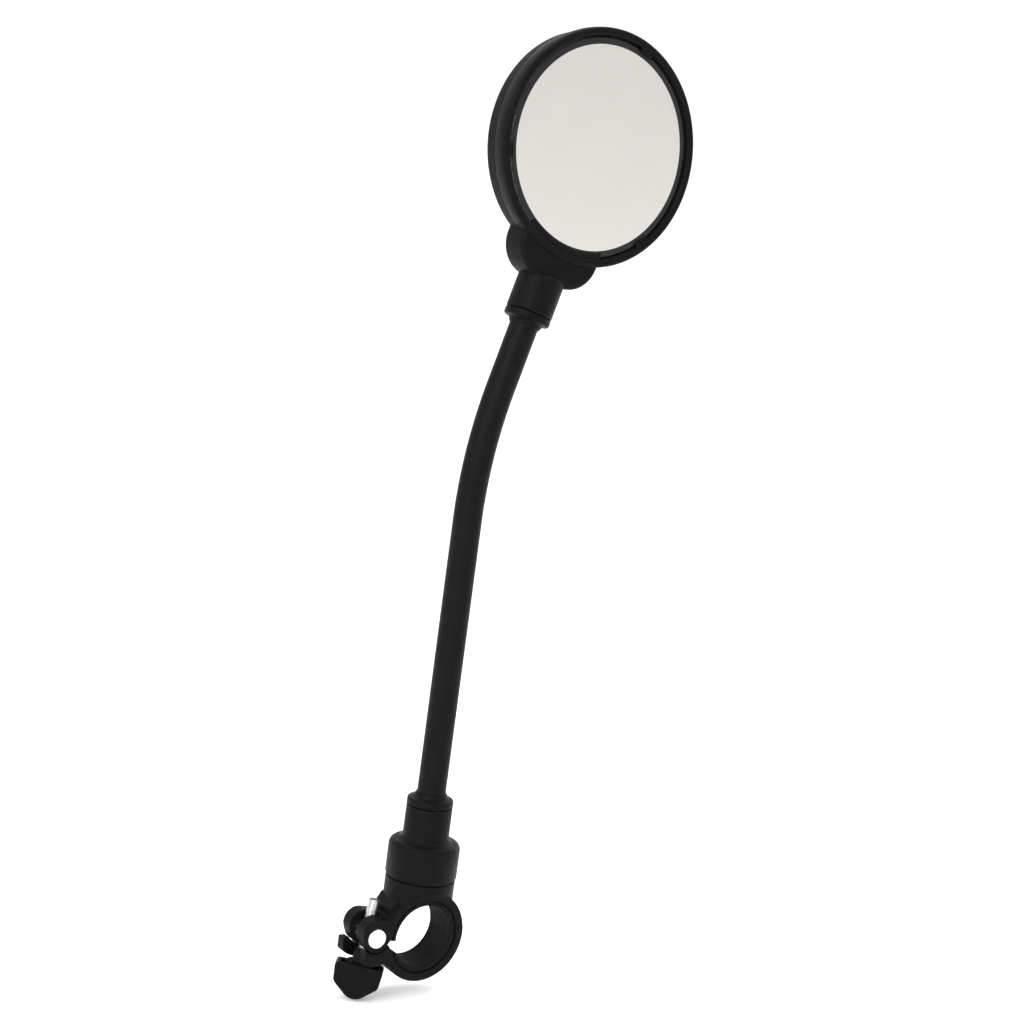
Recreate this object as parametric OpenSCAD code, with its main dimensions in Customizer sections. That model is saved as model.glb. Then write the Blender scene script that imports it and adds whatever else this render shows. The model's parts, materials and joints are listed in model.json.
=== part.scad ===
// Handlebar mirror: a round convex mirror on a bendable stem, with a hinged-bolt bar clamp.
// Origin: middle of the handlebar bore. Z: swivel axis of the stem's foot. Y: along the handlebar.
// The mirror faces -Y. The stem stands up along Z and then leans towards +X.

/* [Handlebar clamp] */
// Diameter of the handlebar that the lined clamp grips
bar_d = 22.2; // [19:0.1:27]
// Thickness of the rubber liner
liner_t = 2; // [1.2:0.1:3]
// Wall of the clamp ring
ring_wall = 3; // [2:0.1:5]
// Width of the clamp along the bar
clamp_w = 14.5; // [12:0.5:22]
// Place where the strap starts to flex, as an angle above the X axis
flex_at = 20; // [10:1:26]
// Angle below the X axis, past half way round, where the upper liner ends
upper_lip = 2; // [0:1:5]
// Angle past half way round where the strap's liner starts
lower_lip = 28; // [24:1:34]

/* [Clamp ears and lug] */
// Distance from the ring's outside to the barrel nut's axis
nut_out = 2.8; // [2:0.1:6]
// Height of the barrel nut's axis above the bar's axis
nut_z = 1; // [0:0.1:3]
// Diameter of the barrel nut
nut_d = 7.2; // [6.4:0.1:9]
// Wall of the ears around the barrel nut
ear_wall = 1.4; // [1.2:0.1:3]
// How far the ears rise above the barrel nut's boss
ear_rise = 2; // [0:0.1:4]
// Width of the slot between the ears and between the prongs
slot_w = 6.8; // [6.4:0.1:8]
// Depth of the lug below the barrel nut's axis
lug_depth = 10; // [9:0.1:13]
// How far the prongs reach beyond the barrel nut's axis
prong_reach = 6.9; // [5:0.1:9]

/* [Thumbscrew] */
// Thread diameter of the stud
thread_d = 4; // [3:0.1:4.5]
// Lean of the thumbscrew away from the bar's far side
screw_lean = 6; // [0:1:9]
// Length of stud above the barrel nut's axis
stud_up = 12; // [8:0.5:15]
// Length of stud below the barrel nut's axis
stud_down = 19; // [16:0.5:22]
// Diameter of the thumb knob's neck
neck_d = 6.2; // [5.6:0.1:6.2]
// Depth of the wing
wing_h = 11.8; // [9:0.1:14]
// Width of the wing from tip to tip
wing_w = 16.8; // [14:0.1:22]
// How far the wing is turned about the screw at rest
wing_turn = 36; // [0:1:180]
// Thickness of the wing
wing_t = 6.6; // [6:0.1:9]
// Thickness of the slip washer under the lug
slip_t = 0.5; // [0.4:0.1:0.8]

/* [Foot and swivel] */
// Diameter of the round foot on the clamp
foot_d = 24.4; // [22:0.1:30]
// Height of the foot's top above the ring's bore
foot_h = 6.7; // [6:0.1:10]
// Gap that shows at the swivel
seam = 0.5; // [0.4:0.1:0.8]
// Diameter of the swivel screw
swivel_d = 4; // [3:0.1:5]
// Diameter of the reducer collar at its wide part
reducer_d = 25; // [22:0.1:30]
// Height of the reducer collar's wide part
reducer_h = 12.6; // [10:0.1:16]
// Length of the reducer collar's neck
reducer_neck = 12.6; // [9:0.1:18]

/* [Flexible stem] */
// Outside diameter of the stem's sleeve
tube_d = 10; // [8:0.1:12]
// Diameter of the metal core inside the sleeve
core_d = 6; // [4:0.1:6.5]
// Diameter of the end collars
collar_d = 16.2; // [14.5:0.1:20]
// Height of the cap rings
cap_h = 2.4; // [2:0.1:4]
// Straight length of stem above the lower cap ring
stem_len = 97.5; // [70:0.5:140]
// Radius of the stem's bend
bend_r = 169.4; // [120:0.1:220]
// Angle of the stem's bend
bend_a = 15.9; // [5:0.1:30]
// Straight length of stem from the bend to the upper cap ring
stem_top = 24; // [16:0.5:40]

/* [Mirror head] */
// Diameter of the head
head_d = 80; // [66:0.5:96]
// Depth of the head's side wall
head_h = 13.8; // [12:0.1:18]
// Height of the domed back
dome_h = 3; // [1:0.1:6]
// Wall of the shells
shell_wall = 2; // [1.5:0.1:3]
// Width of the front rim
rim_w = 2.8; // [2.2:0.1:5]
// Depth of the lens's edge below the rim
lens_sink = 1.6; // [1:0.1:2.5]
// Thickness of the lens
lens_t = 2; // [1.5:0.1:3]
// Radius of the lens's convex face
lens_curve = 450; // [300:5:900]
// Distance from the swivel seam to the lowest point of the head
head_rise = 20.3; // [17:0.1:26]
// Width of the saddle that carries the head
saddle_w = 33.2; // [28:0.1:42]
// Depth of the saddle below the head's rim
saddle_drop = 8.4; // [7:0.1:12]
// Thickness of the saddle
saddle_t = 12; // [10:0.1:13]

/* [Hidden] */
$fn = 64;
eps = 0.01;
run_fit = 0.05;      // radial clearance of parts that turn in each other
part_gap = 0.3;      // clearance between parts that move apart
bead_gap = 0.25;     // radial clearance of one stem bead's cup around the next bead's dome

bore_r = bar_d / 2;
ring_in = bore_r + liner_t;
ring_out = ring_in + ring_wall;
ring_mid = ring_in + ring_wall / 2;

nut_x = -(ring_out + nut_out);
ear_r = nut_d / 2 + ear_wall;
boss_gap = 0.45;
stud_room = 0.4;
front_cut = 2.8;
slot_skin = 0.1;
nut_edge = 0.4;
lug_r = lug_depth;
prong_end = nut_x - prong_reach;
prong_lip = 2.1;
web_w = 11;
ear_slot_w = thread_d + 2 * stud_room;
web_x = nut_x + thread_d / 2 + 3;
lug_root = nut_x + neck_d / 2 + 0.7;
neck_start = ear_r + 0.7;

lug_clear = 0.75;    // slip washer below the lug, for the screw's swing
wing_top = lug_r + lug_clear + slip_t + 2 * run_fit;

foot_top = ring_in + foot_h;
collar_r = collar_d / 2;
tube_r = tube_d / 2;
core_r = core_d / 2;

reducer_z = foot_top + seam;
shoulder_r = (reducer_d / 2 - collar_r) / 2;
shoulder_z = reducer_z + reducer_h;
reducer_top = shoulder_z + reducer_neck;
cap_gap = 0.25;
cap_z = reducer_top + cap_gap;
stem_z = cap_z + cap_h;
ferrule_r = tube_r + 1.2;
ferrule_h = 10;

// Screw that holds the swivel: its head sits in a pocket in the ring's bore
screw_head_r = swivel_d;
screw_head_h = 2;
washer_t = 0.5;
pocket_top = foot_top - 3.8;
screw_reach = 12;

// The stem's path: straight, bent, straight
straight_beads = 4;
bead_len = stem_len / straight_beads;
bend_z = stem_z + stem_len;
bend_end = on_bend(bend_a);
lean = [sin(bend_a), 0, cos(bend_a)];
head_seam = bend_end + (stem_top + cap_h) * lean;
plug_len = 8;
plug_t = 1.5;
beads = straight_beads + 3;
chord = 2 * bend_r * sin(bend_a / 4);

head_r = head_d / 2;
head_mid = head_rise + head_r;
back_r = head_r - 1.2;
lens_r = head_r - rim_w - 0.1;
lens_edge = head_h / 2 - lens_sink;
ledge_w = 2.6;
pad_t = 1;
tab_angle = 6;
tab_w = 5.5;
tab_d = 1.3;
saddle_r = saddle_drop + 3;
saddle_z = -(head_r - 3);
collar_top = head_rise - saddle_drop + 2.6;
neck_floor = 3.65;
neck_bore = 5.5;
neck_screw_r = 1.5;
spigot_in = 3.4;
spigot_z = 6.6;

// ---- Helpers ----

// Extrudes a side view, drawn in X and Z, by a width along Y
module side_view(width) {
    rotate([90, 0, 0]) linear_extrude(width, center = true) children();
}

// A pie slice between two angles, wider than anything it is used on
module slice(from, to, reach = 60) {
    steps = ceil((to - from) / 30);
    polygon(concat([[0, 0]],
        [for (i = [0:steps]) let (a = from + (to - from) * i / steps) reach * [cos(a), sin(a)]]));
}

module ring_slice(inner, outer, from, to) {
    intersection() {
        difference() { circle(outer); circle(inner); }
        slice(from, to);
    }
}

// A turned ring: outer radius, bore radius, height
module washer(outer, bore, height) {
    difference() {
        cylinder(r = outer, h = height);
        translate([0, 0, -eps]) cylinder(r = bore, h = height + 2 * eps);
    }
}

module at_nut() { translate([nut_x, 0, nut_z]) children(); }

// The thumbscrew's own frame: Z down the screw from the barrel nut's axis
module at_screw() { at_nut() rotate([0, 180 + screw_lean, 0]) children(); }

// The head swivel's frame: Z up the leaning stem from the seam
module at_neck() { translate(head_seam) rotate([0, bend_a, 0]) children(); }

// The head's frame: its middle, with Y still along the handlebar
module at_head() { at_neck() translate([0, 0, head_mid]) children(); }

// ---- Clamp ----

module ear_outline() {
    hull() {
        translate([nut_x, nut_z]) circle(ear_r);
        translate([nut_x - 0.7, nut_z + ear_rise]) circle(ear_r + 0.1);
        translate([-ring_in - 1.2, nut_z + ear_rise + 1.2]) circle(ear_r - 2);
    }
}

module clamp_outline() {
    difference() {
        union() {
            ring_slice(ring_in, ring_out, flex_at, 180);
            ear_outline();
        }
        circle(ring_in);
    }
}

// Round foot above the ring, drawn in to the clamp's width where it meets the bore
module foot() {
    intersection() {
        cylinder(d = foot_d, h = foot_top);
        rotate([90, 0, 90]) linear_extrude(foot_d, center = true) foot_profile();
    }
}

module foot_profile() {
    low = ring_in - 1.2;
    wide = foot_top - 2.8;
    polygon([[-clamp_w / 2, low], [clamp_w / 2, low], [foot_d / 2, wide], [foot_d / 2, foot_top],
        [-foot_d / 2, foot_top], [-foot_d / 2, wide]]);
}

// Web that fills the corner between the foot and the ring, clear of the stud
module web() {
    side_view(web_w) polygon([
        [-foot_d / 2 + 0.5, foot_top - 6.2], [web_x, nut_z + 9.2], [web_x, nut_z + 5.9],
        [-ring_mid * cos(20), ring_mid * sin(20)], [-ring_mid * cos(70), ring_mid * sin(70)]
    ]);
}

// Slot for the thumbscrew between the ears, as deep as the ring's outside
module ear_slot() {
    side_view(ear_slot_w) difference() {
        translate([-foot_d / 2 - 40, -30]) square([40, 60]);
        circle(ring_out + slot_skin);
    }
}

module clamp_body() color([0.14, 0.135, 0.135])
difference() {
    union() {
        difference() {
            union() {
                side_view(clamp_w) clamp_outline();
                foot();
            }
            ear_slot();
        }
        web();
    }
    side_view(2 * clamp_w + foot_d) circle(ring_in);
    side_view(2 * clamp_w + foot_d) slice(-90, flex_at, ring_out + 1);
    // Cross bore for the barrel nut
    at_nut() rotate([90, 0, 0]) cylinder(d = nut_d + 2 * run_fit, h = 2 * clamp_w, center = true);
    // Pocket and hole for the swivel screw
    cylinder(r = screw_head_r + part_gap, h = pocket_top);
    cylinder(d = swivel_d + 2 * run_fit, h = foot_top + 1);
    // Room for the strap's rounded root
    side_view(2 * clamp_w + foot_d) flex_root(ring_wall / 2 + part_gap);
}

// Round root of the strap, on the line where it flexes
module flex_root(r) { translate(ring_mid * [cos(flex_at), sin(flex_at)]) circle(r); }

module liner(from, to) {
    side_view(clamp_w - 0.6) ring_slice(bore_r, ring_in - 0.5, from, to);
    side_view(clamp_w - 1.8) ring_slice(bore_r + liner_t / 2, ring_in, from, to);
}

module upper_liner() color([0.10, 0.10, 0.10])
liner(flex_at + 1.2, 180 + upper_lip);

// The lug's outline hugs the barrel nut's boss and ends in upturned prong tips
module lug_outline() {
    difference() {
        intersection() {
            translate([nut_x, nut_z]) circle(lug_r);
            polygon([
                [prong_end, nut_z - 2.8], [nut_x + ear_r, nut_z - 2.8],
                [-ring_in * cos(lower_lip - 8), -ring_in * sin(lower_lip - 8)],
                [-ring_mid * cos(65), -ring_mid * sin(65)], [prong_end, -2 * lug_r]
            ]);
        }
        translate([nut_x, nut_z]) circle(ear_r + boss_gap);
    }
}

module lower_jaw() color([0.14, 0.135, 0.135])
difference() {
    union() {
        side_view(clamp_w) difference() {
            union() {
                ring_slice(ring_in, ring_out, 180 + lower_lip - 8, 360 + flex_at - 0.5);
                lug_outline();
                flex_root(ring_wall / 2);
            }
            circle(ring_in);
        }
    }
    // Fork slot, open at the prongs' ends
    translate([lug_root - 40, -slot_w / 2, -30]) cube([40, slot_w, 60]);
    // The front prong is the shorter one
    translate([prong_end - 1, -clamp_w / 2 - 1, -30]) cube([front_cut + 1, clamp_w / 2 + 1, 60]);
}

module lower_liner() color([0.10, 0.10, 0.10])
liner(180 + lower_lip, 360 + flex_at - 1.2);

// ---- Thumbscrew ----

module barrel_nut() color([0.86, 0.86, 0.87])
at_nut() difference() {
    rotate([90, 0, 0]) {
        cylinder(d = nut_d, h = clamp_w - 2 * nut_edge, center = true);
        for (end = [0, 1]) mirror([0, 0, end]) translate([0, 0, clamp_w / 2 - nut_edge])
            cylinder(r1 = nut_d / 2, r2 = nut_d / 2 - nut_edge, h = nut_edge);
    }
    rotate([0, screw_lean, 0]) cylinder(d = thread_d + 2 * run_fit, h = 2 * nut_d, center = true);
}

module slip_washer() color([0.12, 0.12, 0.12])
at_screw() translate([0, 0, lug_r + lug_clear])
    washer(neck_d / 2 + 2, neck_d / 2 + run_fit, slip_t);

module threaded_stud() color([0.80, 0.80, 0.82])
at_screw() translate([0, 0, -stud_up]) cylinder(d = thread_d, h = stud_up + stud_down);

// Wing seen from the front: a half-moon with blunt tips
module wing_outline() {
    hull() {
        translate([-wing_w / 2 + 1.2, 1.2]) circle(1.2);
        translate([wing_w / 2 - 1.2, 1.2]) circle(1.2);
        translate([0, wing_h - wing_w / 4 - 1]) circle(wing_w / 4 + 1);
        translate([-wing_w / 4 - 1, wing_h / 2 - 0.5]) circle(wing_w / 6);
        translate([wing_w / 4 + 1, wing_h / 2 - 0.5]) circle(wing_w / 6);
    }
}

module thumb_knob() color([0.15, 0.145, 0.145])
at_screw() difference() {
    union() {
        translate([0, 0, neck_start]) cylinder(d = neck_d, h = wing_top + 1 - neck_start);
        translate([0, 0, wing_top])
            rotate([90, 0, wing_turn]) linear_extrude(wing_t, center = true) wing_outline();
    }
    cylinder(d = thread_d, h = stud_down);
    // Sink pockets in the wing's top, one each side of the neck
    rotate([0, 0, wing_turn]) for (side = [-1, 1])
        translate([side * (wing_w / 2 - 3), 0, wing_top + 1])
            cube([2.8, wing_t - 2.4, 5], center = true);
}

// ---- Foot swivel and reducer collar ----

module swivel_screw() color([0.72, 0.72, 0.74])
translate([0, 0, pocket_top - washer_t - 2 * run_fit]) {
    translate([0, 0, -screw_head_h]) cylinder(r = screw_head_r, h = screw_head_h);
    cylinder(d = swivel_d, h = reducer_z - pocket_top + washer_t + screw_reach);
}

module swivel_washer() color([0.78, 0.78, 0.80])
translate([0, 0, pocket_top - washer_t - run_fit])
    washer(screw_head_r, swivel_d / 2 + run_fit, washer_t);

module friction_washer() color([0.09, 0.09, 0.09])
translate([0, 0, foot_top + run_fit])
    washer(foot_d / 2 - 0.6, screw_head_r + 2, seam - 2 * run_fit);

module reducer_collar() color([0.14, 0.135, 0.135])
difference() {
    union() {
        // Wide part, with a rounded shoulder
        translate([0, 0, reducer_z]) cylinder(d = reducer_d, h = reducer_h - shoulder_r);
        translate([0, 0, shoulder_z - shoulder_r]) rotate_extrude() {
            square([reducer_d / 2 - shoulder_r, shoulder_r]);
            intersection() {
                translate([reducer_d / 2 - shoulder_r, 0]) circle(shoulder_r);
                square([reducer_d, shoulder_r]);
            }
        }
        // Neck, with a hollow fillet at its foot
        translate([0, 0, shoulder_z - eps]) cylinder(r = collar_r, h = reducer_neck + eps);
        translate([0, 0, shoulder_z - eps]) rotate_extrude() difference() {
            square([collar_r + shoulder_r, shoulder_r]);
            translate([collar_r + shoulder_r, shoulder_r]) circle(shoulder_r);
        }
    }
    // Hollow around the screw boss
    translate([0, 0, reducer_z - eps])
        washer(reducer_d / 2 - 2.2, screw_head_r + 2, reducer_h - 3);
    translate([0, 0, reducer_z - eps]) cylinder(d = swivel_d, h = screw_reach + part_gap);
    // Socket for the ferrule
    translate([0, 0, reducer_top - ferrule_h]) cylinder(r = ferrule_r, h = ferrule_h + 1);
}

module lower_ferrule() color([0.70, 0.70, 0.72])
translate([0, 0, reducer_top - ferrule_h]) difference() {
    cylinder(r = ferrule_r, h = ferrule_h - cap_h / 2);
    translate([0, 0, 1.5]) cylinder(r = core_r, h = ferrule_h);
}

// ---- Cap rings at the stem's ends ----

// Cap ring with a bevelled edge, a foot that meets the sleeve, and a skirt into the collar
module cap_ring(skirt) {
    difference() {
        union() {
            cylinder(r = collar_r, h = cap_h - 0.5);
            translate([0, 0, cap_h - 0.5]) cylinder(r1 = collar_r, r2 = collar_r - 0.5, h = 0.5);
            translate([0, 0, cap_h - eps]) cylinder(r1 = tube_r + 1.4, r2 = tube_r + 0.2, h = 1.2);
            translate([0, 0, -skirt]) cylinder(r = ferrule_r, h = skirt + 1);
        }
        translate([0, 0, -skirt - eps]) cylinder(r = tube_r, h = cap_h + skirt + 2);
    }
}

module lower_cap_ring() color([0.13, 0.125, 0.125])
translate([0, 0, cap_z]) cap_ring(cap_gap + cap_h / 2);

module upper_cap_ring() color([0.13, 0.125, 0.125])
at_neck() translate([0, 0, -part_gap / 2]) mirror([0, 0, 1]) difference() {
    cap_ring(0);
    translate([0, 0, -eps]) cylinder(r = ferrule_r + 1, h = plug_t + eps);
}

// ---- Flexible stem, as a chain of beads ----

// The stem's axis on the bend, at an angle from the bend's start
function on_bend(a) = [bend_r * (1 - cos(a)), 0, bend_z + bend_r * sin(a)];

// Joint i of the stem's axis: 0 is the stem's foot, the last is the bend's end
function joint_pos(i) = i <= straight_beads
    ? [0, 0, stem_z + i * bead_len]
    : on_bend((i - straight_beads) * bend_a / 2);

// Lean of bead i: none, then a quarter and three quarters of the bend, then all of it
function bead_lean(i) = bend_a * [0, 1, 3, 4][max(0, i - straight_beads)] / 4;

function bead_rod_len(i) = i <= straight_beads ? bead_len
    : i < beads ? chord : stem_top + cap_h - part_gap / 2 - plug_t;

// How far bead i reaches below its lower joint: only the first does, down to the ferrule
function bead_tail(i) = i == 1 ? stem_z - reducer_top + cap_h / 2 : 0;

module at_bead(i) { translate(joint_pos(i - 1)) rotate([0, bead_lean(i), 0]) children(); }

// A bead: its rod, a dome at its top, and a cup at its foot around the dome below
module bead(i, r, bore) {
    len = bead_rod_len(i);
    at_bead(i) difference() {
        union() {
            translate([0, 0, -bead_tail(i)]) cylinder(r = r, h = len + bead_tail(i));
            if (i < beads) intersection() {
                translate([0, 0, len]) sphere(tube_r);
                translate([0, 0, len - tube_r]) cylinder(r = r, h = 2 * tube_r);
            }
        }
        if (i > 1) sphere(tube_r + bead_gap);
        if (bore > 0) translate([0, 0, -2 * tube_r]) cylinder(r = bore, h = len + 4 * tube_r);
    }
}

module sleeve(i) color([0.12, 0.11, 0.11]) bead(i, tube_r, core_r);

module core(i) color([0.66, 0.66, 0.68])
if (i == 1) {
    bead(1, core_r, 0);
    translate([0, 0, reducer_top - ferrule_h + 1.5]) cylinder(r = core_r, h = ferrule_h);
}
else if (i == beads) difference() {
    bead(beads, core_r, 0);
    at_neck() translate([0, 0, -part_gap / 2 - plug_t - plug_len]) cylinder(r = core_r + 1, h = 2 * plug_len);
}
else bead(i, core_r, 0);

// ---- Head swivel ----

module upper_end_plug() color([0.70, 0.70, 0.72])
at_neck() difference() {
    union() {
        translate([0, 0, -part_gap / 2 - plug_t]) cylinder(r = ferrule_r + 1, h = plug_t);
        translate([0, 0, -part_gap / 2 - plug_t - plug_len]) cylinder(r = core_r, h = plug_len + 1);
    }
    translate([0, 0, -plug_len]) cylinder(r = neck_screw_r, h = plug_len + 1);
}

module head_screw() color([0.72, 0.72, 0.74])
at_neck() {
    seat = neck_floor + washer_t + 2 * run_fit;
    translate([0, 0, -plug_len]) cylinder(r = neck_screw_r, h = plug_len + seat);
    translate([0, 0, seat]) cylinder(r = 2 * neck_screw_r - 0.1, h = 1.8);
}

module head_washer() color([0.78, 0.78, 0.80])
at_neck() translate([0, 0, neck_floor + run_fit])
    washer(neck_bore - 1.2, neck_screw_r + run_fit, washer_t);

module upper_collar() color([0.15, 0.145, 0.145])
at_neck() difference() {
    union() {
        translate([0, 0, part_gap / 2]) cylinder(r = collar_r, h = collar_top - 2.4);
        translate([0, 0, part_gap / 2 + collar_top - 2.4])
            cylinder(r1 = collar_r, r2 = collar_r - 1.4, h = 2.4);
    }
    cylinder(r = neck_screw_r + run_fit, h = neck_floor + 1);
    translate([0, 0, neck_floor]) cylinder(r = neck_bore, h = collar_top);
    translate([0, 0, head_mid]) side_view(saddle_t) saddle_outline();
}

// ---- Mirror head ----

module saddle_outline() {
    for (side = [-1, 1]) translate([side * (saddle_w / 2 - saddle_r), saddle_z]) circle(saddle_r);
    translate([0, saddle_z - saddle_r / 2]) square([saddle_w - 2 * saddle_r, saddle_r], center = true);
}

// Half of the saddle and of the spigot that the collar holds, in front (-1) or behind (1)
module saddle_half(side) {
    difference() {
        union() {
            side_view(saddle_t) saddle_outline();
            translate([0, 0, -head_mid + spigot_z]) cylinder(r = neck_bore, h = head_rise - spigot_z);
        }
        side_view(2 * saddle_t) circle(head_r - shell_wall);
        translate([0, 0, -head_mid]) cylinder(r = spigot_in, h = head_rise - 4);
        translate([0, -side * saddle_t, 0]) cube([2 * head_d, 2 * saddle_t, 3 * head_d], center = true);
    }
}

// Side wall profile: radius across, depth up, the front at the top
module shell_outline() {
    polygon([[0, -head_h / 2 - dome_h], [back_r * 0.5, -head_h / 2 - dome_h * 0.72],
        [back_r - 3, -head_h / 2], [back_r - 0.9, -head_h / 2 + 0.9], [back_r, -head_h / 2 + 3],
        [head_r, head_h / 2 - 3], [head_r, head_h / 2 - 1], [head_r - 0.9, head_h / 2],
        [head_r - rim_w + 0.6, head_h / 2], [head_r - rim_w, head_h / 2 - 0.6], [0, head_h / 2 - 0.6]]);
}

module turned_about_y() { rotate([90, 0, 0]) rotate_extrude($fn = 128) children(); }

module front_shell() color([0.14, 0.135, 0.135])
at_head() {
    turned_about_y() difference() {
        intersection() { shell_outline(); translate([0, 0]) square([head_d, head_h]); }
        translate([0, lens_edge - lens_t]) square([lens_r, head_h]);
        square([lens_r - ledge_w, head_h]);
        square([head_r - shell_wall, lens_edge - lens_t - 1.5]);
    }
    difference() {
        saddle_half(-1);
        turned_about_y() square([head_r - shell_wall / 2, head_h]);
    }
    // Three snap tabs over the lens's edge
    for (i = [0:2]) rotate([0, tab_angle + 120 * i, 0])
        translate([0, -lens_edge - 0.5, head_r - rim_w - tab_d / 2 + 0.3])
            cube([tab_w, 0.75, tab_d + 0.6], center = true);
}

module rear_shell() color([0.14, 0.135, 0.135])
at_head() {
    turned_about_y() difference() {
        intersection() {
            shell_outline();
            translate([0, -head_d]) square([head_d, head_d - 0.02]);
        }
        translate([0, shell_wall]) intersection() {
            shell_outline();
            translate([0, -head_d]) square([head_r - shell_wall, head_d]);
        }
    }
    difference() {
        saddle_half(1);
        rotate([-90, 0, 0]) cylinder(r = head_r - shell_wall / 2, h = head_h);
    }
}

module mirror_lens() color([0.86, 0.85, 0.83])
at_head() intersection() {
    turned_about_y() translate([0, lens_edge - lens_t]) square([lens_r - 0.1, head_h]);
    translate([0, -lens_edge + lens_curve * cos(asin(lens_r / lens_curve)), 0])
        rotate([90, 0, 0]) sphere(lens_curve, $fn = 360);
}

module lens_pad() color([0.20, 0.20, 0.20])
at_head() turned_about_y() translate([0, lens_edge - lens_t - pad_t - eps])
    square([lens_r - ledge_w - 0.4, pad_t]);

clamp_body();
upper_liner();
lower_jaw();
lower_liner();
barrel_nut();
slip_washer();
threaded_stud();
thumb_knob();
swivel_screw();
swivel_washer();
friction_washer();
reducer_collar();
lower_ferrule();
lower_cap_ring();
for (i = [1:beads]) {
    sleeve(i);
    core(i);
}
upper_end_plug();
upper_cap_ring();
head_screw();
head_washer();
upper_collar();
front_shell();
rear_shell();
mirror_lens();
lens_pad();
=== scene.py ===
# %% [markdown]
# # A handlebar mirror
# The mirror is a round convex glass on a stem that bends and stays. This first cell loads the imported
# model, which fixes every position, and keeps its size.

# %% Load the frame
import json
import math
import bpy
from mathutils import Matrix, Vector


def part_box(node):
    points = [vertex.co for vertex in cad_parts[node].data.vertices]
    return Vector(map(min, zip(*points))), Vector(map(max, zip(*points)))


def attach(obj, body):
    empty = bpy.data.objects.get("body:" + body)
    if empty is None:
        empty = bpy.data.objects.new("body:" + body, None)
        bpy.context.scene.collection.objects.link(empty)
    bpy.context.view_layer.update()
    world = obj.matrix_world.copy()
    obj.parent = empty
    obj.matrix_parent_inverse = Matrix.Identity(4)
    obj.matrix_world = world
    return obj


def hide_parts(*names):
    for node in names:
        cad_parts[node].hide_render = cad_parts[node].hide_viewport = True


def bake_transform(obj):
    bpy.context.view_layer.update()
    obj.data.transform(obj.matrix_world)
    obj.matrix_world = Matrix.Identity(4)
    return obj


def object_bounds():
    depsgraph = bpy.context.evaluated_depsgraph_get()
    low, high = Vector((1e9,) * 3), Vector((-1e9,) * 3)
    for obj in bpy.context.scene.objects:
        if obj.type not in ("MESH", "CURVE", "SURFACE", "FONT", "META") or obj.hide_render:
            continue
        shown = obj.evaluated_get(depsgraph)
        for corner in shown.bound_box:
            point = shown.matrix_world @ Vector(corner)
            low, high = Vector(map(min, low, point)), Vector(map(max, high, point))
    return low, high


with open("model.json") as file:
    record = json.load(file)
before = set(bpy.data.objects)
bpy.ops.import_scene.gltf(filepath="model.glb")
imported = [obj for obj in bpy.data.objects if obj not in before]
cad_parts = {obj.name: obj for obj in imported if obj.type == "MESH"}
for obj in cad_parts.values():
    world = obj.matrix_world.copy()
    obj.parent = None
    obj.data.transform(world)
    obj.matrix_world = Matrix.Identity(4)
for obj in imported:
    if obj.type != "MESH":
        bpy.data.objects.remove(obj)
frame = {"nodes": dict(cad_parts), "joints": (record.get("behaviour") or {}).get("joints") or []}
cad_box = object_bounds()
nodes = frame["nodes"]
joints = {j["name"]: j for j in frame["joints"]}
mm = 0.001
print("nodes:", len(nodes), "joints:", len(joints))

# %% [markdown]
# ## Where things are
# The hinges of the record give the key points. The stem runs straight up from the foot, bends in
# one arc towards +X, and ends at the seam that the head turns on.

# %% Key points, in metres
lean = math.radians(15.9)
bend_r = 169.4 * mm
stem_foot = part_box("lower_cap_ring")[1].z - 1.2 * mm
bend_start = joints["stem_bend_4"]["pos_m"][2]
seam = Vector(joints["head_swivel"]["pos_m"])
nut = Vector(joints["bolt_swing"]["pos_m"])
head_mid = 60.3 * mm
neck = Matrix.Translation(seam) @ Matrix.Rotation(lean, 4, "Y")
head = neck @ Matrix.Translation((0, 0, head_mid))
face_out = head @ Matrix.Rotation(math.radians(90), 4, "X")
screw = Matrix.Translation(nut) @ Matrix.Rotation(math.radians(6), 4, "Y")
print("seam at", tuple(round(v / mm, 1) for v in seam), "mm")

# %% [markdown]
# ## The camera
# The camera stands in front and to the left, a little above the clamp, and is rolled so that the
# stem leans to the right. Its three axes are worked out from those angles.

# %% Camera
turn, rise, roll = math.radians(-35.72), math.radians(7.71), math.radians(7.71)
distance, focal = 679.02 * mm, 1942.32
back = Vector((math.sin(turn) * math.cos(rise), -math.cos(turn) * math.cos(rise), math.sin(rise)))
right = Vector((0, 0, 1)).cross(back).normalized()
up = back.cross(right)
right, up = (math.cos(roll) * right + math.sin(roll) * up,
             -math.sin(roll) * right + math.cos(roll) * up)
across = (413.19 - 512) * distance / focal
down = (929.56 - 512) * distance / focal
spot = distance * back - across * right + down * up
camera_data = bpy.data.cameras.new("camera")
camera_data.sensor_width = 36
camera_data.lens = focal / 1024 * 36
camera_data.clip_start = 0.01
camera = bpy.data.objects.new("camera", camera_data)
bpy.context.scene.collection.objects.link(camera)
camera.matrix_world = Matrix((
    (right.x, up.x, back.x, spot.x),
    (right.y, up.y, back.y, spot.y),
    (right.z, up.z, back.z, spot.z),
    (0, 0, 0, 1)))
bpy.context.scene.camera = camera
print("camera at", tuple(round(v, 3) for v in spot))

# %% [markdown]
# ## Working habits
# Every piece starts from nothing selected. A small helper leaves edit mode and deselects, another
# picks vertices by a test on their place, and a third applies whatever modifiers a piece has.

# %% Helpers for starting, picking and finishing
def clear_selection():
    if bpy.context.object and bpy.context.object.mode != "OBJECT":
        bpy.ops.object.mode_set(mode="OBJECT")
    bpy.ops.object.select_all(action="DESELECT")


def only(piece):
    clear_selection()
    piece.select_set(True)
    bpy.context.view_layer.objects.active = piece
    return piece


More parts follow.
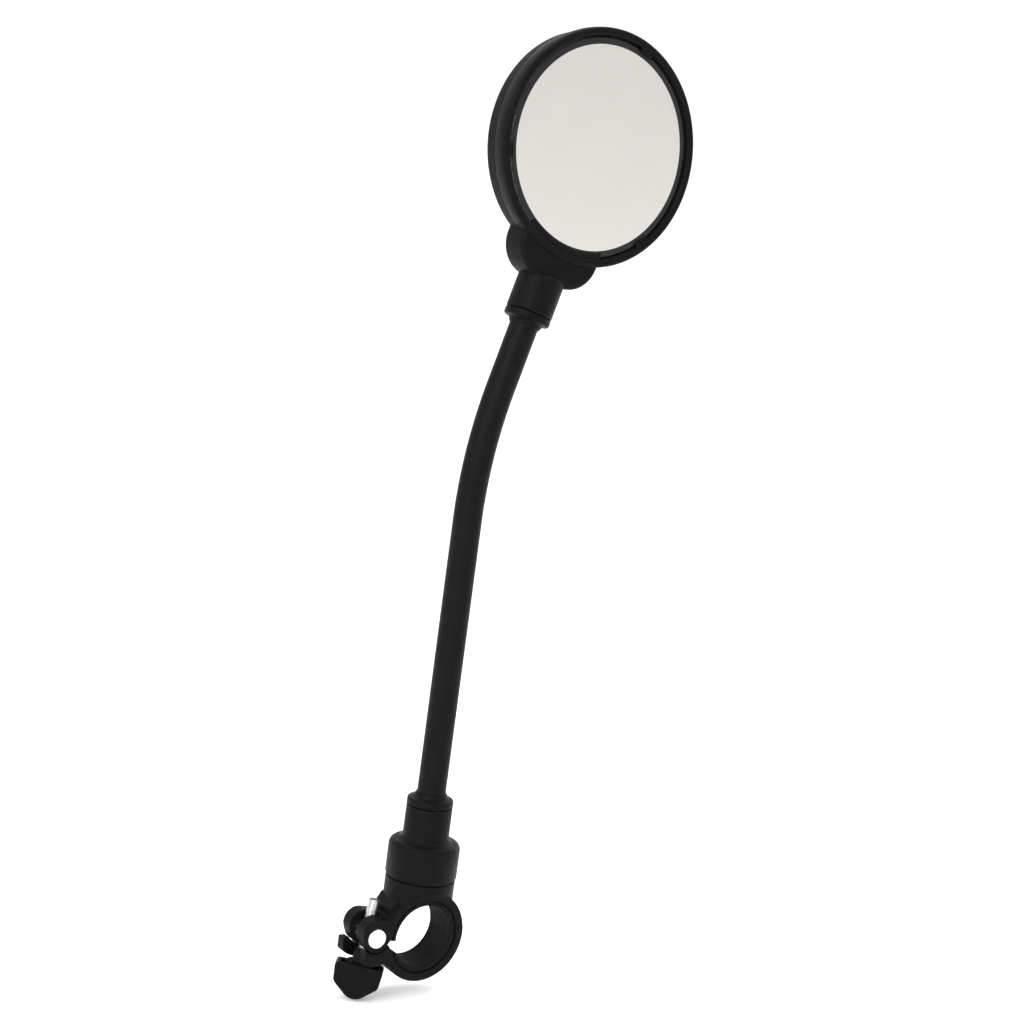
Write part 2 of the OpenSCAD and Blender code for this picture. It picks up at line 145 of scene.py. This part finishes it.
def pick_edges(piece, test):
    """Selects the edges whose two ends both pass the test, and enters edit mode."""
    only(piece)
    bpy.ops.object.mode_set(mode="EDIT")
    bpy.ops.mesh.select_mode(type="EDGE")
    bpy.ops.mesh.select_all(action="DESELECT")
    bpy.ops.object.mode_set(mode="OBJECT")
    points = [v.co for v in piece.data.vertices]
    for e in piece.data.edges:
        e.select = test(points[e.vertices[0]], points[e.vertices[1]])
    bpy.ops.object.mode_set(mode="EDIT")


def apply_all(piece):
    only(piece)
    for m in list(piece.modifiers):
        bpy.ops.object.modifier_apply(modifier=m.name)
    return piece


def soften(piece, width, angle=30, segments=3):
    """Rounds the edges that turn by more than an angle, and shades what is left smoothly."""
    m = piece.modifiers.new("soften", "BEVEL")
    m.width = width
    m.segments = segments
    m.limit_method = "ANGLE"
    m.angle_limit = math.radians(angle)
    m.harden_normals = False
    apply_all(piece)
    bpy.ops.object.shade_smooth_by_angle(angle=math.radians(32))
    return piece


def outward(piece):
    only(piece)
    bpy.ops.object.mode_set(mode="EDIT")
    bpy.ops.mesh.select_all(action="SELECT")
    bpy.ops.mesh.remove_doubles(threshold=1e-6)
    bpy.ops.mesh.normals_make_consistent(inside=False)
    bpy.ops.object.mode_set(mode="OBJECT")
    return piece


def put(piece, place):
    """Moves a finished mesh into its place and leaves its object at the origin."""
    only(piece)
    piece.matrix_world = place
    bpy.ops.object.transform_apply(location=True, rotation=True, scale=True)
    return piece

# %% [markdown]
# ## Turned pieces
# Collars, rings, washers, the rim and the mirror are all round about an axis. A profile is drawn by
# extruding one vertex from point to point, and the Spin operator sweeps it round. A spun loop has
# the right roundness everywhere, which a cylinder with bevels would only approach.

# %% Helpers for a drawn profile and for spinning it
def drawn(name, points, closed=True):
    """A chain of edges through points, made by extruding a single vertex."""
    clear_selection()
    bpy.ops.mesh.primitive_plane_add(size=1 * mm, location=(0, 0, 0))
    piece = bpy.context.object
    piece.name = name
    bpy.ops.object.mode_set(mode="EDIT")
    bpy.ops.mesh.select_mode(type="VERT")
    bpy.ops.mesh.select_all(action="SELECT")
    bpy.ops.mesh.merge(type="CENTER")
    bpy.ops.transform.translate(value=points[0])
    for a, b in zip(points, points[1:]):
        bpy.ops.mesh.extrude_vertices_move(
            TRANSFORM_OT_translate={"value": tuple(Vector(b) - Vector(a))})
    if closed:
        bpy.ops.mesh.select_all(action="SELECT")
        bpy.ops.mesh.edge_face_add()
        bpy.ops.mesh.delete(type="ONLY_FACE")
    bpy.ops.object.mode_set(mode="OBJECT")
    return piece


def turned(name, profile, place=Matrix.Identity(4), steps=96, edge=0.25, closed=True):
    """Spins a profile of (radius, height) in mm about Z, then puts it in its place."""
    piece = drawn(name, [(r * mm, 0, h * mm) for r, h in profile], closed)
    only(piece)
    bpy.ops.object.mode_set(mode="EDIT")
    bpy.ops.mesh.select_all(action="SELECT")
    bpy.ops.mesh.spin(steps=steps, angle=2 * math.pi, center=(0, 0, 0), axis=(0, 0, 1))
    outward(piece)
    if edge:
        soften(piece, edge * mm)
    else:
        only(piece)
        bpy.ops.object.shade_smooth_by_angle(angle=math.radians(32))
    return put(piece, place)

# %% [markdown]
# ## Moulded pieces
# The clamp's castings have rounded edges all over, even where shapes run into each other. A copy
# of the CAD node is remeshed into small even cells and smoothed, and every edge melts to the same
# small radius, as plastic leaves a mould.

# %% Helper for a moulded copy
def moulded(name, node, cell, rounds):
    piece = nodes[node].copy()
    piece.data = nodes[node].data.copy()
    piece.name = name
    for key in list(piece.keys()):
        del piece[key]
    piece.parent = None
    piece.data.materials.clear()
    bpy.context.scene.collection.objects.link(piece)
    piece.hide_render = False
    outward(piece)
    grid = piece.modifiers.new("cells", "REMESH")
    grid.mode = "VOXEL"
    grid.voxel_size = cell * mm
    melt = piece.modifiers.new("melt", "SMOOTH")
    melt.factor = 0.5
    melt.iterations = rounds
    apply_all(piece)
    bpy.ops.object.shade_smooth()
    print(name, len(piece.data.polygons), "faces")
    return piece

# %% [markdown]
# ## Finishes
# Almost everything is black plastic, so the finish carries the look. Moulded plastic has a fine
# spark-eroded grain: the bump is tiny, and the gloss varies a little from place to place. The
# pattern reads Object coordinates, so it stays with the piece.

# %% Helper for a new material with its pattern coordinates
def blank(name):
    m = bpy.data.materials.new(name)
    m.use_nodes = True
    nt = m.node_tree
    shader = nt.nodes["Principled BSDF"]
    place = nt.nodes.new("ShaderNodeTexCoord")
    return m, nt, shader, place.outputs["Object"]


def noise(nt, where, scale, detail=4, rough=0.55):
    n = nt.nodes.new("ShaderNodeTexNoise")
    n.inputs["Scale"].default_value = scale
    n.inputs["Detail"].default_value = detail
    n.inputs["Roughness"].default_value = rough
    nt.links.new(where, n.inputs["Vector"])
    return n.outputs["Fac"]


def spread(nt, value, low, high, low_in=0.3, high_in=0.7):
    n = nt.nodes.new("ShaderNodeMapRange")
    n.inputs["From Min"].default_value = low_in
    n.inputs["From Max"].default_value = high_in
    n.inputs["To Min"].default_value = low
    n.inputs["To Max"].default_value = high
    nt.links.new(value, n.inputs["Value"])
    return n.outputs["Result"]


def tint(nt, value, dark, light):
    n = nt.nodes.new("ShaderNodeMix")
    n.data_type = "RGBA"
    n.inputs["A"].default_value = (*dark, 1)
    n.inputs["B"].default_value = (*light, 1)
    nt.links.new(value, n.inputs["Factor"])
    return n.outputs["Result"]


def bump(nt, value, shader, strength, depth):
    n = nt.nodes.new("ShaderNodeBump")
    n.inputs["Strength"].default_value = strength
    n.inputs["Distance"].default_value = depth
    nt.links.new(value, n.inputs["Height"])
    nt.links.new(n.outputs["Normal"], shader.inputs["Normal"])
    return n


def plastic(name, dark, light, low, high, grain=9000, strength=0.25, specular=0.35):
    m, nt, shader, where = blank(name)
    cloud = noise(nt, where, 160, 3)
    nt.links.new(tint(nt, cloud, dark, light), shader.inputs["Base Color"])
    nt.links.new(spread(nt, noise(nt, where, 420, 5), low, high), shader.inputs["Roughness"])
    shader.inputs["Specular IOR Level"].default_value = specular
    bump(nt, noise(nt, where, grain, 2), shader, strength, 0.00004)
    return m


def metal(name, dark, light, low, high, scratch=2500):
    m, nt, shader, where = blank(name)
    shader.inputs["Metallic"].default_value = 1
    cloud = noise(nt, where, 300, 4)
    nt.links.new(tint(nt, cloud, dark, light), shader.inputs["Base Color"])
    nt.links.new(spread(nt, noise(nt, where, 900, 5), low, high), shader.inputs["Roughness"])
    bump(nt, noise(nt, where, scratch, 3), shader, 0.1, 0.00003)
    return m

# %% The finishes of this object
satin = plastic("satin_black", (0.0030, 0.0027, 0.0030), (0.0052, 0.0047, 0.0050), 0.40, 0.52,
                specular=0.06)
sleeve_skin = plastic("sleeve_black", (0.0026, 0.0021, 0.0023), (0.0044, 0.0038, 0.0040), 0.42, 0.54,
                      grain=6000, strength=0.15, specular=0.08)
rubber = plastic("liner_rubber", (0.0045, 0.0042, 0.0042), (0.0075, 0.0070, 0.0070), 0.62, 0.78,
                 grain=5000, strength=0.4, specular=0.07)
foam = plastic("pad_foam", (0.01, 0.01, 0.01), (0.03, 0.03, 0.03), 0.85, 0.95, grain=2500, strength=0.8)
bright = metal("bright_steel", (0.78, 0.78, 0.80), (0.90, 0.90, 0.91), 0.16, 0.28)
zinc = metal("zinc_steel", (0.55, 0.55, 0.56), (0.72, 0.72, 0.72), 0.24, 0.38)
wound = metal("wound_core", (0.40, 0.40, 0.42), (0.52, 0.52, 0.53), 0.35, 0.5)

# %% [markdown]
# The mirror is silvered glass. Its face is a near-perfect metal with the faintest haze, the rim of
# the glass is unsilvered and looks dark, and the ground bevel at its edge catches the light.

# %% The mirror's three finishes
def silvering():
    m, nt, shader, where = blank("silvering")
    shader.inputs["Metallic"].default_value = 1
    haze = noise(nt, where, 60, 3)
    nt.links.new(tint(nt, haze, (0.560, 0.546, 0.522), (0.585, 0.570, 0.545)), shader.inputs["Base Color"])
    nt.links.new(spread(nt, noise(nt, where, 45, 4), 0.05, 0.10), shader.inputs["Roughness"])
    return m


mirror_face = silvering()
glass_rim = plastic("glass_rim", (0.010, 0.010, 0.011), (0.020, 0.020, 0.021), 0.08, 0.16,
                    grain=1500, strength=0.02, specular=0.15)
ground_edge = metal("ground_edge", (0.80, 0.80, 0.80), (0.92, 0.92, 0.92), 0.12, 0.25)

# %% Painting and handing over a piece
def paint(piece, *materials):
    piece.data.materials.clear()
    for m in materials:
        piece.data.materials.append(m)
    return piece


def stands_for(piece, body, slot, *names):
    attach(piece, body)
    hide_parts(*names)
    return piece

# %% [markdown]
# ## The foot's collar and the cap rings
# The reducer collar is one turning: a wide barrel, a rounded shoulder, a hollow fillet and a neck.
# The fillets are short runs of points on circles, so the light rolls over them.

# %% A run of points on a circle
def curve(cx, cy, r, start, end, count=6):
    return [(cx + r * math.cos(math.radians(start + (end - start) * i / count)),
             cy + r * math.sin(math.radians(start + (end - start) * i / count)))
            for i in range(count + 1)]

# %% Reducer collar
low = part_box("reducer_collar")[0].z / mm
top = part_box("reducer_collar")[1].z / mm
shoulder = low + 12.6
collar_profile = (
    [(6.0, low), (12.25, low), (12.5, low + 0.5), (12.5, shoulder - 2.2)]
    + curve(10.3, shoulder - 2.2, 2.2, 0, 90)
    + curve(10.3, shoulder + 2.2, 2.2, 270, 180)[1:]
    + [(8.05, top - 0.1), (6.3, top - 0.1), (6.3, low + 10)])
reducer = turned("reducer_collar_skin", collar_profile, steps=128, edge=0.2)
stands_for(paint(reducer, satin), "stem_1", "black_plastic", "reducer_collar")

# %% Cap rings
def cap_profile(tall):
    """From the joint face up: a bevelled disc, then a short foot that meets the sleeve."""
    return ([(5.05, 0), (8.1, 0), (8.1, tall - 0.9)] + curve(7.2, tall - 0.9, 0.9, 0, 90)
            + curve(7.0, tall + 1.3, 1.3, 270, 190) + [(5.3, tall + 1.9), (5.05, tall + 1.9)])


cap_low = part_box("lower_cap_ring")[1].z / mm - 3.6
lower_cap = turned("lower_cap_skin", cap_profile(2.4), Matrix.Translation((0, 0, cap_low * mm)), edge=0.12)
stands_for(paint(lower_cap, satin), "stem_1", "black_plastic", "lower_cap_ring")
upside_down = Matrix.Rotation(math.pi, 4, "X")
upper_cap = turned("upper_cap_skin", cap_profile(2.4),
                   neck @ Matrix.Translation((0, 0, -0.15 * mm)) @ upside_down, edge=0.12)
stands_for(paint(upper_cap, satin), "stem_7", "black_plastic", "upper_cap_ring")

# %% [markdown]
# ## The flexible stem
# On the real mirror one smooth sleeve runs from cap to cap and bends anywhere. Here it is cut in the
# middle of each bead, so that every length of skin crosses one hinge.
# Each length starts as a straight tube with many rings, gets a wall, and is laid on the stem's line.

# %% The stem's centre line
def on_stem(s):
    """The point and the lean of the stem's line, s metres above its foot."""
    straight = bend_start - stem_foot
    if s <= straight:
        return Vector((0, 0, stem_foot + s)), 0.0
    a = min((s - straight) / bend_r, lean)
    point = Vector((bend_r * (1 - math.cos(a)), 0, bend_start + bend_r * math.sin(a)))
    rest = s - straight - bend_r * a
    if rest > 0:
        point += rest * Vector((math.sin(a), 0, math.cos(a)))
    return point, a


def sleeve_length(name, s0, s1):
    """A length of sleeve between two distances along the stem."""
    clear_selection()
    bpy.ops.mesh.primitive_cylinder_add(vertices=64, radius=5 * mm, depth=s1 - s0,
                                        end_fill_type="NOTHING", location=(0, 0, (s0 + s1) / 2))
    piece = bpy.context.object
    piece.name = name
    bpy.ops.object.transform_apply(location=True)
    pick_edges(piece, lambda a, b: abs(a.z - b.z) > 1e-5)
    bpy.ops.mesh.subdivide(number_cuts=max(8, int((s1 - s0) / (1.5 * mm))))
    bpy.ops.object.mode_set(mode="OBJECT")
    wall = piece.modifiers.new("wall", "SOLIDIFY")
    wall.thickness = 1.2 * mm
    wall.offset = -1
    apply_all(piece)
    for v in piece.data.vertices:
        point, a = on_stem(v.co.z)
        v.co = point + v.co.x * Vector((math.cos(a), 0, -math.sin(a))) + Vector((0, v.co.y, 0))
    bpy.ops.object.shade_smooth_by_angle(angle=math.radians(40))
    return piece

# %% Where the joints and the cuts are along the stem
def distance_up(point):
    """How far along the stem's line a joint is."""
    if point.z <= bend_start + 1e-6:
        return point.z - stem_foot
    a = math.atan2(point.z - bend_start, bend_r - point.x)
    return bend_start - stem_foot + bend_r * a


hinges = [distance_up(Vector(joints[f"stem_bend_{i}"]["pos_m"])) for i in range(1, 7)]
stem_end = bend_start - stem_foot + bend_r * lean + 24.6 * mm
cuts = [-0.9 * mm] + [(a + b) / 2 for a, b in zip(hinges, hinges[1:])] + [stem_end]
print("hinges at", [round(h / mm, 1) for h in hinges], "mm up the stem")

# %% Six lengths of sleeve
for i, s in enumerate(hinges, start=1):
    part = paint(sleeve_length(f"sleeve_skin_{i}", cuts[i - 1], cuts[i]), sleeve_skin)
    reach = 11 * mm
    on_stem(s - reach)[0]
    on_stem(s + reach)[0]
    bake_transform(part)
    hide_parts(f"sleeve_{i}", *(["sleeve_7"] if i == 6 else []))

# %% [markdown]
# ## The clamp
# The clamp's ring is one flexible moulding: the strap bends where it leaves the body. The body and the
# strap are moulded copies, trimmed at two planes, and a short bridge of ring sits between them.

# %% Clamp body and strap
def ring_dir(angle):
    a = math.radians(angle)
    return Vector((math.cos(a), 0, math.sin(a)))


def trim(piece, angle, keep_above):
    """Cuts a ring piece on the plane through the bar's axis at an angle, near +X only, and caps it."""
    normal = Vector((-math.sin(math.radians(angle)), 0, math.cos(math.radians(angle))))
    only(piece)
    bpy.ops.object.mode_set(mode="EDIT")
    bpy.ops.mesh.select_mode(type="VERT")
    bpy.ops.mesh.select_all(action="DESELECT")
    bpy.ops.object.mode_set(mode="OBJECT")
    for v in piece.data.vertices:
        v.select = v.co.x > 5 * mm and abs(v.co.z) < 13 * mm
    bpy.ops.object.mode_set(mode="EDIT")
    bpy.ops.mesh.select_mode(type="FACE")
    bpy.ops.mesh.bisect(plane_co=(0, 0, 0), plane_no=normal, use_fill=True,
                        clear_inner=keep_above, clear_outer=not keep_above)
    bpy.ops.object.mode_set(mode="OBJECT")
    return piece


bridge_low, bridge_top = 10, 30
body = moulded("clamp_body_skin", "clamp_body", 0.22, 4)
stands_for(paint(trim(body, bridge_top, True), satin), "clamp", "black_plastic", "clamp_body")
strap = moulded("lower_jaw_skin", "lower_jaw", 0.22, 4)
stands_for(paint(trim(strap, bridge_low, False), satin), "strap", "black_plastic", "lower_jaw")

# %% [markdown]
# The rubber liners and the strap's bridge are the same job: a cross-section swept part of the way
# round the bar. The profile is drawn in the plane through Y, and Spin sweeps it about Y.

# %% Ring sections swept about the bar
def swept(name, section, start, end):
    """Sweeps a section of (radius, y) in mm about the bar's axis between two angles."""
    first = ring_dir(start)
    points = [tuple(r * mm * first + Vector((0, y * mm, 0))) for r, y in section]
    piece = drawn(name, points)
    only(piece)
    bpy.ops.object.mode_set(mode="EDIT")
    bpy.ops.mesh.select_all(action="SELECT")
    bpy.ops.mesh.edge_face_add()
    bpy.ops.mesh.spin(steps=max(8, int(abs(end - start) / 3)), angle=math.radians(end - start),
                      center=(0, 0, 0), axis=(0, 1, 0))
    bpy.ops.mesh.select_all(action="SELECT")
    bpy.ops.mesh.remove_doubles(threshold=1e-6)
    bpy.ops.mesh.normals_make_consistent(inside=False)
    bpy.ops.object.mode_set(mode="OBJECT")
    return piece


wall_section = [(13.1, -6.9), (13.45, -7.25), (15.75, -7.25), (16.1, -6.9),
                (16.1, 6.9), (15.75, 7.25), (13.45, 7.25), (13.1, 6.9)]
liner_section = [(11.1, -6.6), (11.35, -6.95), (12.5, -6.95), (12.6, -6.35), (13.1, -6.35),
                 (13.1, 6.35), (12.6, 6.35), (12.5, 6.95), (11.35, 6.95), (11.1, 6.6)]
bridge = swept("strap_bridge", wall_section, bridge_low, bridge_top)
liner_bridge = swept("liner_bridge", liner_section, bridge_low, bridge_top)
upper_liner = swept("upper_liner_skin", liner_section, bridge_top, 182)
lower_liner = swept("lower_liner_skin", liner_section, 208, 360 + bridge_low)
for part in (bridge, liner_bridge, upper_liner, lower_liner):
    print(part.name, len(part.data.polygons))

# %% Painting the ring sections and attaching the liners to their bodies
for part in (bridge, liner_bridge, upper_liner, lower_liner):
    only(part)
    bpy.ops.object.shade_smooth_by_angle(angle=math.radians(30))
for part, finish, slot in ((bridge, satin, "black_plastic"), (liner_bridge, rubber, "liner_rubber")):
    paint(part, finish)
    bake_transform(part)
stands_for(paint(upper_liner, rubber), "clamp", "liner_rubber", "upper_liner")
stands_for(paint(lower_liner, rubber), "strap", "liner_rubber", "lower_liner")

# %% [markdown]
# ## The thumbscrew
# A real M4 thread is a helix. One tooth of its profile is drawn, and the Screw modifier winds it
# up the stud, a pitch a turn. Two cuts give it flat ends.

# %% Threaded stud
pitch = 0.7 * mm
stud_low, stud_high = -18.9 * mm, 11.9 * mm
root_r, crest_r = 1.62 * mm, 1.98 * mm
tooth = [(root_r, 0), (crest_r, pitch * 0.42), (crest_r, pitch * 0.58), (root_r, pitch)]
stud = drawn("threaded_stud_skin", [(r, 0, z + stud_low - pitch) for r, z in tooth], closed=False)
helix = stud.modifiers.new("helix", "SCREW")
helix.axis = "Z"
helix.angle = 2 * math.pi
helix.steps = helix.render_steps = 28
helix.screw_offset = pitch
helix.iterations = int((stud_high - stud_low) / pitch) + 3
helix.use_merge_vertices = True
apply_all(stud)
for height, above in ((stud_low, False), (stud_high, True)):
    only(stud)
    bpy.ops.object.mode_set(mode="EDIT")
    bpy.ops.mesh.select_all(action="SELECT")
    bpy.ops.mesh.remove_doubles(threshold=2e-6)
    bpy.ops.mesh.select_all(action="SELECT")
    bpy.ops.mesh.bisect(plane_co=(0, 0, height), plane_no=(0, 0, 1), use_fill=True,
                        clear_inner=not above, clear_outer=above)
    bpy.ops.object.mode_set(mode="OBJECT")
outward(stud)
bpy.ops.object.shade_smooth_by_angle(angle=math.radians(28))
put(stud, screw)
stands_for(paint(stud, zinc), "thumbscrew", "zinc_steel", "threaded_stud")

# %% Knob, washer and barrel nut
knob = moulded("thumb_knob_skin", "thumb_knob", 0.2, 4)
stands_for(paint(knob, satin), "thumbscrew", "black_plastic", "thumb_knob")
lug_depth, lug_clear, slip_t = 10, 0.75, 0.5
slip_low = -(lug_depth + lug_clear + slip_t)
slip_top = slip_low + slip_t
slip = turned("slip_washer_skin",
              [(3.2, slip_low), (5.1, slip_low), (5.1, slip_top), (3.2, slip_top)],
              screw, steps=64, edge=0.12)
stands_for(paint(slip, satin), "slider", "black_plastic", "slip_washer")
nut_way = Matrix.Translation(nut) @ Matrix.Rotation(math.radians(90), 4, "X")
barrel = turned("barrel_nut_skin", [(0, -7.2), (3.2, -7.2), (3.6, -6.8), (3.6, 6.8), (3.2, 7.2), (0, 7.2)],
                nut_way, steps=96, edge=0, closed=False)
clear_selection()
bpy.ops.mesh.primitive_cylinder_add(vertices=48, radius=2.05 * mm, depth=12 * mm)
drill = put(bpy.context.object, screw)
hole = barrel.modifiers.new("hole", "BOOLEAN")
hole.operation = "DIFFERENCE"
hole.solver = "EXACT"
hole.object = drill
apply_all(barrel)
bpy.data.objects.remove(drill)
only(barrel)
bpy.ops.object.shade_smooth_by_angle(angle=math.radians(30))
stands_for(paint(barrel, bright), "bolt_nut", "bright_steel", "barrel_nut")

# %% [markdown]
# ## The head
# The housing is two shells that meet on a parting line round the side. The front one is a ring
# with a rounded lip, and the back one is a shallow dome. Both carry half of the saddle.

# %% Rim and back
rim_profile = ([(38.0, 0.05), (39.38, 0.05), (40.0, 3.9), (40.0, 5.6)] + curve(38.7, 5.6, 1.3, 0, 90, 5)
               + [(37.9, 6.9), (37.2, 6.3), (37.1, 3.3), (34.4, 3.3), (34.4, 1.8), (38.0, 1.8)])
rim = turned("front_shell_skin", rim_profile, face_out, steps=160, edge=0.18)


def dome(radius, rim_h, crown_h, count=14):
    """Points of a shallow dome from its rim to its crown."""
    sag = rim_h - crown_h
    ball = (radius ** 2 + sag ** 2) / (2 * sag)
    return [(radius * (1 - i / count),
             crown_h + ball - math.sqrt(ball ** 2 - (radius * (1 - i / count)) ** 2))
            for i in range(count + 1)]


back_profile = ([(37.4, -0.02), (39.36, -0.02), (38.85, -3.6)] + curve(35.9, -4.1, 2.95, 0, -62, 6)
                + dome(36.4, -6.95, -9.85) + list(reversed(dome(34.9, -5.1, -7.85))) + [(36.9, -3.6)])
back_shell = turned("rear_shell_skin", back_profile, face_out, steps=160, edge=0.12, closed=True)

# %% [markdown]
# The saddle is a crescent that hugs the underside of the rim and stands on the collar. Its outline
# is two arcs joined by a short flat, and it is extruded to its half of the depth. The outer edges
# of the face get a generous round.

# %% Saddle halves
def saddle(name, y_in, y_out):
    lobe_x, lobe_z, lobe_r = 5.2, -37, 11.4
    outer = (curve(-lobe_x, lobe_z, lobe_r, 152, 270, 16)
             + curve(lobe_x, lobe_z, lobe_r, 270, 388, 16))
    x0, z0 = outer[-1]
    start = math.degrees(math.atan2(z0, x0))
    inner = curve(0, 0, math.hypot(x0, z0), start, -180 - start, 16)[1:-1]
    piece = drawn(name, [(x * mm, y_in * mm, z * mm) for x, z in outer + inner])
    only(piece)
    bpy.ops.object.mode_set(mode="EDIT")
    bpy.ops.mesh.select_all(action="SELECT")
    bpy.ops.mesh.edge_face_add()
    bpy.ops.mesh.extrude_region_move(TRANSFORM_OT_translate={"value": (0, (y_out - y_in) * mm, 0)})
    bpy.ops.mesh.select_all(action="SELECT")
    bpy.ops.mesh.normals_make_consistent(inside=False)
    bpy.ops.object.mode_set(mode="OBJECT")
    pick_edges(piece, lambda a, b: abs(a.y - y_out * mm) < 1e-6 and abs(b.y - y_out * mm) < 1e-6
               and max(math.hypot(a.x, a.z), math.hypot(b.x, b.z)) > 38.6 * mm)
    bpy.ops.mesh.bevel(offset=1.9 * mm, segments=6, affect="EDGES")
    bpy.ops.object.mode_set(mode="OBJECT")
    only(piece)
    bpy.ops.object.shade_smooth_by_angle(angle=math.radians(35))
    return put(piece, head)


front_saddle = saddle("front_saddle", -0.05, -5.9)
rear_saddle = saddle("rear_saddle", 0.05, 5.9)

# %% Snap tabs that hold the glass
tabs = []
for k in range(3):
    clear_selection()
    bpy.ops.mesh.primitive_cube_add(size=1)
    tab = bpy.context.object
    tab.scale = (5.4 * mm, 0.8 * mm, 1.9 * mm)
    bpy.ops.object.transform_apply(scale=True)
    pick_edges(tab, lambda a, b: a.z < 0 and b.z < 0)
    bpy.ops.mesh.bevel(offset=0.35 * mm, segments=3, affect="EDGES")
    bpy.ops.object.mode_set(mode="OBJECT")
    put(tab, head @ Matrix.Rotation(math.radians(6 + 120 * k), 4, "Y")
        @ Matrix.Translation((0, -5.8 * mm, 36.7 * mm)))
    tabs.append(tab)

# %% Each shell becomes one piece
def join(main, *others):
    clear_selection()
    for piece in (main, *others):
        piece.select_set(True)
    bpy.context.view_layer.objects.active = main
    bpy.ops.object.join()
    return main


join(rim, front_saddle, *tabs)
join(back_shell, rear_saddle)
stands_for(paint(rim, satin), "head", "black_plastic", "front_shell")
stands_for(paint(back_shell, satin), "head", "black_plastic", "rear_shell")

# %% Collar that the head stands on
neck_profile = ([(1.6, 0.15), (7.8, 0.15), (8.1, 0.45), (8.1, 12.3)] + curve(6.3, 12.5, 1.8, 0, 70, 5)
                + [(5.5, 14.4), (5.5, 3.65), (1.6, 3.65)])
neck_collar = turned("upper_collar_skin", neck_profile, neck, steps=96, edge=0.1)
stands_for(paint(neck_collar, satin), "head", "black_plastic", "upper_collar")

# %% [markdown]
# ## The mirror
# The glass bulges gently towards the rider. Its face is a spun arc of a 450 mm ball. The faces are
# given their finish by their distance from the middle: silvering, dark unsilvered rim, ground edge.

# %% Convex glass
ball = 450
edge_h, glass_r = 5.25, 36.85
flat_r, silver_r = 36.4, 34.4
bulge = [(r, edge_h + (flat_r ** 2 - r ** 2) / (2 * ball))
         for r in (flat_r, 35.4, silver_r, 32, 27, 22, 16, 10, 5, 0)]
glass_profile = [(0, 3.32), (glass_r, 3.32), (glass_r, edge_h - 0.35)] + bulge
glass = turned("mirror_lens_skin", glass_profile, face_out, steps=192, edge=0, closed=False)
paint(glass, mirror_face, glass_rim, ground_edge)
for face in glass.data.polygons:
    r = math.hypot(*((head.inverted() @ face.center)[i] / mm for i in (0, 2)))
    if r > flat_r - 0.02:
        face.material_index = 2
    elif r > silver_r:
        face.material_index = 1
stands_for(glass, "head", "mirror", "mirror_lens")

# %% [markdown]
# ## Pieces that stay as the CAD made them
# The hidden hardware has the right shape already. It only gets its finish.

# %% Finishes for the CAD nodes that stay
kept = {rubber: ["friction_washer"], foam: ["lens_pad"], wound: [f"core_{i}" for i in range(1, 8)],
        zinc: ["swivel_screw", "swivel_washer", "head_screw", "head_washer",
               "lower_ferrule", "upper_end_plug"]}
for finish, names in kept.items():
    for n in names:
        paint(nodes[n], finish)

# %% [markdown]
# ## The studio
# A wide pale bowl is the floor and the wall in one, so no line shows behind the object from any
# side. It glows a little, which keeps the ground white. Three large soft lights give the black
# plastic its long, quiet highlights, and the standard transform leaves white as white.

# %% Floor
floor_z = cad_box[0][2] - 0.0005
clear_selection()
bowl_side = [(1200 + 3000 * math.sin(math.radians(a)), 3000 - 3000 * math.cos(math.radians(a)))
             for a in range(5, 95, 5)]
bowl = turned("studio_floor", [(0, 0), (600, 0), (1200, 0)] + bowl_side + [(4200, 4500)],
              Matrix.Translation((0, 0, floor_z)), steps=96, edge=0, closed=False)
only(bowl)
bpy.ops.object.shade_smooth()
pale, pale_nt, pale_shader, pale_where = blank("pale_floor")
pale_nt.links.new(tint(pale_nt, noise(pale_nt, pale_where, 3, 2), (0.86, 0.86, 0.86), (0.88, 0.88, 0.88)),
                  pale_shader.inputs["Base Color"])
pale_shader.inputs["Roughness"].default_value = 0.9
pale_shader.inputs["Specular IOR Level"].default_value = 0.1
pale_shader.inputs["Emission Color"].default_value = (1, 1, 1, 1)
pale_shader.inputs["Emission Strength"].default_value = 0.16
paint(bowl, pale)

# %% Lights
def softbox(name, at, size, power, aim=(0.01, 0, 0.15)):
    data = bpy.data.lights.new(name, "AREA")
    data.shape = "RECTANGLE"
    data.size, data.size_y = size
    data.energy = power
    light = bpy.data.objects.new(name, data)
    bpy.context.scene.collection.objects.link(light)
    light.location = at
    light.rotation_euler = (Vector(aim) - Vector(at)).to_track_quat("-Z", "Y").to_euler()
    return light


softbox("key", (-1.6, -0.9, 1.1), (0.9, 1.2), 26)
softbox("fill", (2.1, 0.5, 0.8), (1.0, 1.0), 8)
softbox("top", (0.2, 0.3, 2.0), (1.4, 1.4), 22)
world = bpy.data.worlds.new("studio")
world.use_nodes = True
world.node_tree.nodes["Background"].inputs["Color"].default_value = (1, 1, 1, 1)
world.node_tree.nodes["Background"].inputs["Strength"].default_value = 1.0
bpy.context.scene.world = world
bpy.context.scene.view_settings.view_transform = "Standard"

# %% Leaving nothing selected
clear_selection()
